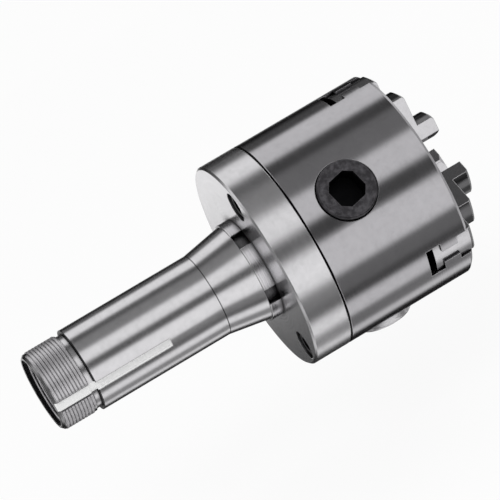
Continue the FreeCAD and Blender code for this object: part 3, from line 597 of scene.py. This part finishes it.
class CHUCK_OT_flange(bpy.types.Operator):
    """Finish the mounting flange"""

    bl_idname = "chuck.flange"
    bl_label = "Mounting flange"

    def execute(self, context):
        steel, _, _ = chosen()
        material = turned_steel(
            "flange_steel", steel.flange, steel.turning, FLANGE_REACH, seam=True)
        dress("mounting_flange", material)
        return {"FINISHED"}


class CHUCK_OT_shank(bpy.types.Operator):
    """Finish the collet shank"""

    bl_idname = "chuck.shank"
    bl_label = "Collet shank"

    def execute(self, context):
        steel, threads, _ = chosen()
        material = turned_steel("shank_steel", steel.flange, steel.turning, slot=threads)
        dress("collet_shank", material)
        return {"FINISHED"}


class CHUCK_OT_threads(bpy.types.Operator):
    """Cut the drawbar thread and the stop thread on the shank"""

    bl_idname = "chuck.threads"
    bl_label = "Shank threads"

    def execute(self, context):
        _, threads, _ = chosen()
        material = bpy.data.materials["shank_steel"]
        shank_low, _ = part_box("collet_shank")
        start = shank_low.x + threads.lead
        gap = (math.radians(threads.slot_angle), threads.slot_width / 2)
        helix("drawbar_thread", material, start, threads.outside_length - threads.lead,
              threads.core_radius, threads.outside_radius, threads.outside_pitch, gap)
        helix("stop_thread", material, start, threads.inside_length - threads.lead,
              threads.bore_radius, threads.inside_radius, threads.inside_pitch, None)
        return {"FINISHED"}


def helix(name, material, start, length, root, crest, pitch, gap):
    """A ridge that winds along a round wall, open where a slot crosses the wall. Its
    sections run the other way round on an outer wall, so that every face looks outward."""
    depth = crest - root
    outline = THREAD_SECTION[::-1] if depth > 0 else THREAD_SECTION
    corners = len(outline)
    steps = int(length / pitch * THREAD_STEPS)
    vertices = []
    faces = []
    for run in ridge_runs(steps, gap, root):
        first = len(vertices)
        for step in run:
            angle = 2 * math.pi * step / THREAD_STEPS
            fade = min(1, step / THREAD_FADE_STEPS, (steps - step) / THREAD_FADE_STEPS)
            middle = start + pitch * step / THREAD_STEPS
            for along, out in outline:
                radius = root + depth * (out if out < 0 else out * fade)
                x = middle + along * pitch
                vertices.append((x, -radius * math.sin(angle), radius * math.cos(angle)))
        last = len(vertices) - corners
        faces.append(tuple(range(first + corners - 1, first - 1, -1)))
        for section in range(first, last, corners):
            ahead = section + corners
            for edge in range(corners):
                after = (edge + 1) % corners
                faces.append((section + edge, section + after, ahead + after, ahead + edge))
        faces.append(tuple(range(last, last + corners)))
    mesh_object(name, vertices, faces, material, body="chuck")


def ridge_runs(steps, gap, radius):
    """The steps of a ridge, in a new list after each place where the slot crosses it."""
    runs = [[]]
    for step in range(steps + 1):
        if not (gap and crosses(2 * math.pi * step / THREAD_STEPS, gap, radius)):
            runs[-1].append(step)
        elif runs[-1]:
            runs.append([])
    return [run for run in runs if run]


def crosses(angle, gap, radius):
    """Whether an angle round the spindle lies in the slot."""
    middle, half_width = gap
    away = (angle - middle + math.pi) % (2 * math.pi) - math.pi
    return abs(away) < math.asin(half_width / radius)


class CHUCK_OT_jaws(bpy.types.Operator):
    """Finish the three jaws"""

    bl_idname = "chuck.jaws"
    bl_label = "Jaws"

    def execute(self, context):
        steel, _, _ = chosen()
        material = ground_steel("jaw_steel", steel.jaw)
        for number in JAW_NUMBERS:
            dress(f"jaw_{number}", material)
        return {"FINISHED"}


class CHUCK_OT_pinions(bpy.types.Operator):
    """Finish the pinions"""

    bl_idname = "chuck.pinions"
    bl_label = "Pinions"

    def execute(self, context):
        steel, _, _ = chosen()
        # Pinion 1 is blackened and pinions 2 and 3 are bare steel: like pinions in a darker and a
        # lighter copy, painted shade and painted light for how light falls on them.
        dress("pinion_1", blackened_steel("pinion_steel", steel.oxide))
        lit_copy = turned_steel("lit_copy_pinion_steel", steel.flange, steel.turning, SOCKET_REACH)
        for number in JAW_NUMBERS[1:]:
            dress(f"pinion_{number}", lit_copy)
        return {"FINISHED"}


class CHUCK_OT_inner(bpy.types.Operator):
    """Finish the scroll plate, the cover and the screws"""

    bl_idname = "chuck.inner"
    bl_label = "Scroll plate, cover and screws"

    def execute(self, context):
        steel, _, _ = chosen()
        dress("scroll_plate", turned_steel("scroll_steel", steel.inner, steel.turning))
        dress("back_cover", turned_steel("cover_steel", steel.inner, steel.turning))
        # Painted shade: the screws' oxide is halved, for they sit in shadowed recesses.
        darker = [level * SCREW_SHADE for level in steel.oxide]
        material = blackened_steel("screw_steel", darker)
        for number in JAW_NUMBERS:
            for kind in ("mounting_screw", "cover_screw", "pinion_retaining_screw"):
                dress(f"{kind}_{number}", material)
        return {"FINISHED"}


class CHUCK_OT_studio(bpy.types.Operator):
    """Floor, lights, light tent and camera"""

    bl_idname = "chuck.studio"
    bl_label = "Studio"

    def execute(self, context):
        _, _, studio = chosen()
        make_floor(studio)
        make_tent(studio)
        make_lamps()
        make_world()
        make_camera(studio)
        context.scene.view_settings.view_transform = "Standard"
        return {"FINISHED"}


FLOOR_HALF = 40.0
FLOOR_COLOUR = (0.9, 0.9, 0.9)
FLOOR_ROUGHNESS = 0.8
# How much of the floor's shading gives way to plain white in the picture.
FLOOR_WHITE = 0.88
# Strength of the room's light on the steel and the floor; to the camera it is 1.
ROOM_LIGHT = 0.6


def make_floor(studio):
    """A pale floor that is nearly white in the picture, and keeps the shadow."""
    low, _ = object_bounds()
    height = low.z - studio.floor_drop
    signs = ((-1, -1), (1, -1), (1, 1), (-1, 1))
    corners = [(x * FLOOR_HALF, y * FLOOR_HALF, height) for x, y in signs]
    shader = Shader("floor")
    shader.set(base_color=colour(FLOOR_COLOUR), roughness=FLOOR_ROUGHNESS)
    share = shader.straight_rays() * FLOOR_WHITE
    glow = shader.add("ShaderNodeEmission", {}, {"Strength": 1.0})
    shaded = Socket(shader, shader.surface.outputs[0])
    shader.show(shader.add("ShaderNodeMixShader", {}, [share, shaded, glow]))
    floor = mesh_object("floor", corners, [(0, 1, 2, 3)], shader.material, smooth=False)
    floor.visible_glossy = False
    floor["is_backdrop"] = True


# Lamps behind the cloth of the light tent: angle round the spindle from the side that
# faces the camera, growing downwards, half their width, both in degrees, and brightness.
TENT_LAMPS = [
    (-104, 16, 0.95), (-54, 16, 0.24), (-24, 15, 0.95), (31, 19, 1.00), (62, 9, 0.22),
    (93, 10, 0.95), (114, 12, 0.26), (132, 7, 0.85), (153, 9, 0.01), (-173, 7, 1.00),
    (-150, 8, 0.01),
]
TENT_DARK = 0.085
TENT_BRIGHTEST = 1.15
TENT_BLUR = 9.0
# Middle of the end behind the shank and of the end before the jaws.
TENT_ENDS = (0.16, 0.45)
# Rings of the tent: place as a share of half its length, and how light its far side is.
TENT_RINGS = ((-1.0, 0.5), (-0.4, 0.0), (0.4, 0.0), (1.0, 0.9))
TENT_STEPS = 360
FAR_SIDE_START = 115
FAR_SIDE_BLUR = 30


def make_tent(studio):
    """A tube of light and dark cloth round the spindle, closed at both ends, seen only in
    polished metal."""
    near = Vector((0, TOWARDS_CAMERA.y, TOWARDS_CAMERA.z)).normalized()
    below = near.cross(Vector((1, 0, 0)))
    if below.z > 0:
        below = -below
    vertices = []
    levels = []
    half = studio.tent_length / 2
    for step in range(TENT_STEPS + 1):
        degrees = -180 + 360 * step / TENT_STEPS
        turn = math.radians(degrees)
        out = near * math.cos(turn) + below * math.sin(turn)
        behind = min(1, max(0, (abs(degrees) - FAR_SIDE_START) / FAR_SIDE_BLUR))
        for share, lighter in TENT_RINGS:
            vertices.append(Vector((share * half, 0, 0)) + out * studio.tent_radius)
            levels.append(max(tent_level(degrees), lighter * behind))
    faces = []
    rings = len(TENT_RINGS)
    for step in range(TENT_STEPS):
        for first in range(rings * step, rings * step + rings - 1):
            faces.append((first, first + 1, first + rings + 1, first + rings))
    for side, rim, middle in ((-1, 0, TENT_ENDS[0]), (1, rings - 1, TENT_ENDS[1])):
        vertices.append(Vector((side * half, 0, 0)))
        levels.append(middle)
        for first in range(rim, rings * TENT_STEPS, rings):
            faces.append((first, first + rings, len(vertices) - 1))
    glow_sheet("light_tent", vertices, faces, levels)


def glow_sheet(name, vertices, faces, levels):
    """A sheet that glows with a level at each corner, for polished metal only."""
    shader = Shader(name)
    level = shader.add("ShaderNodeAttribute", {"attribute_name": "level"}, output="Color")
    shader.show(shader.add("ShaderNodeEmission", {}, {"Color": level}))
    sheet = mesh_object(name, vertices, faces, shader.material)
    attribute = sheet.data.attributes.new("level", "FLOAT", "POINT")
    for index, value in enumerate(levels):
        attribute.data[index].value = value
    sheet.visible_camera = False
    sheet.visible_diffuse = False
    sheet.visible_shadow = False
    sheet.visible_transmission = False
    sheet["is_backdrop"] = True


def tent_level(degrees):
    """How brightly the tent glows at an angle round the spindle."""
    level = TENT_DARK
    for place, half, brightness in TENT_LAMPS:
        away = abs(degrees - place)
        share = (half - min(away, 360 - away)) / TENT_BLUR + 0.5
        share = min(1, max(0, share))
        level += (brightness - TENT_DARK) * share * share * (3 - 2 * share)
    return min(level, TENT_BRIGHTEST)


# Name, place and power of the lamps.
LAMPS = (("key_lamp", (-0.9, -1.1, 1.5), 14.0), ("fill_lamp", (1.2, 0.6, 1.4), 7.0))
LAMP_SIZE = 1.2


def make_lamps():
    """Two large soft lamps that light the floor and throw the shadow."""
    for name, place, power in LAMPS:
        lamp = bpy.data.lights.new(name, "AREA")
        lamp.shape = "DISK"
        lamp.size = LAMP_SIZE
        lamp.energy = power
        lamp.specular_factor = 0.0
        holder = bpy.data.objects.new(name, lamp)
        holder.location = place
        holder.rotation_euler = (-Vector(place)).to_track_quat("-Z", "Y").to_euler()
        bpy.context.scene.collection.objects.link(holder)
        holder.visible_glossy = False


def make_world():
    """A white room to the camera and to metal, and a softer light on everything else."""
    world = bpy.data.worlds.new("room")
    world.use_nodes = True
    bpy.context.scene.world = world
    nodes = Nodes(world.node_tree)
    inputs = {"Value": nodes.straight_rays(), "To Min": ROOM_LIGHT, "To Max": 1.0}
    strength = nodes.add("ShaderNodeMapRange", {}, inputs)
    background = nodes.tree.nodes["Background"]
    background.inputs["Color"].default_value = (1, 1, 1, 1)
    nodes.feed(background.inputs["Strength"], strength)


def make_camera(studio):
    """The camera at the photograph's angle, with the flange in its place in the picture."""
    back = TOWARDS_CAMERA
    along = Vector((1, 0, 0)) - back * back.x
    along.normalize()
    across = back.cross(along)
    right = along * math.cos(AXIS_TILT) - across * math.sin(AXIS_TILT)
    up = along * math.sin(AXIS_TILT) + across * math.cos(AXIS_TILT)
    flange_low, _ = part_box("mounting_flange")
    anchor = Vector((flange_low.x, 0, 0))
    middle = PICTURE_PIXELS / 2
    shift_right = (middle - ANCHOR_PIXEL[0]) / PIXELS_PER_METRE
    shift_up = (ANCHOR_PIXEL[1] - middle) / PIXELS_PER_METRE
    aim = anchor + right * shift_right + up * shift_up
    camera = bpy.data.cameras.new("camera")
    camera.lens = studio.lens
    camera.sensor_width = SENSOR_WIDTH
    width = PICTURE_PIXELS / PIXELS_PER_METRE
    distance = width * camera.lens / camera.sensor_width
    camera.clip_end = 100.0
    holder = bpy.data.objects.new("camera", camera)
    bpy.context.scene.collection.objects.link(holder)
    turn = Matrix((right, up, back)).transposed().to_4x4()
    holder.matrix_world = Matrix.Translation(aim + back * distance) @ turn
    bpy.context.scene.camera = holder


OPERATORS = (
    CHUCK_OT_body,
    CHUCK_OT_flange,
    CHUCK_OT_shank,
    CHUCK_OT_threads,
    CHUCK_OT_jaws,
    CHUCK_OT_pinions,
    CHUCK_OT_inner,
    CHUCK_OT_studio,
)


class CHUCK_PT_panel(bpy.types.Panel):
    """Lists the pieces of the chuck"""

    bl_idname = "CHUCK_PT_panel"
    bl_label = "Scroll chuck"
    bl_space_type = "VIEW_3D"
    bl_region_type = "UI"
    bl_category = "Chuck"

    def draw(self, context):
        for operator in OPERATORS:
            self.layout.operator(operator.bl_idname)


CLASSES = (SteelColours, ThreadSizes, StudioSizes, *OPERATORS, CHUCK_PT_panel)


def register():
    for item in CLASSES:
        bpy.utils.register_class(item)
    bpy.types.Scene.chuck_steel = bpy.props.PointerProperty(type=SteelColours)
    bpy.types.Scene.chuck_threads = bpy.props.PointerProperty(type=ThreadSizes)
    bpy.types.Scene.chuck_studio = bpy.props.PointerProperty(type=StudioSizes)


def unregister():
    del bpy.types.Scene.chuck_studio
    del bpy.types.Scene.chuck_threads
    del bpy.types.Scene.chuck_steel
    for item in reversed(CLASSES):
        bpy.utils.unregister_class(item)


def main():
    register()
    for operator in OPERATORS:
        group, name = operator.bl_idname.split(".")
        getattr(getattr(bpy.ops, group), name)()


if __name__ == "__main__":
    main()
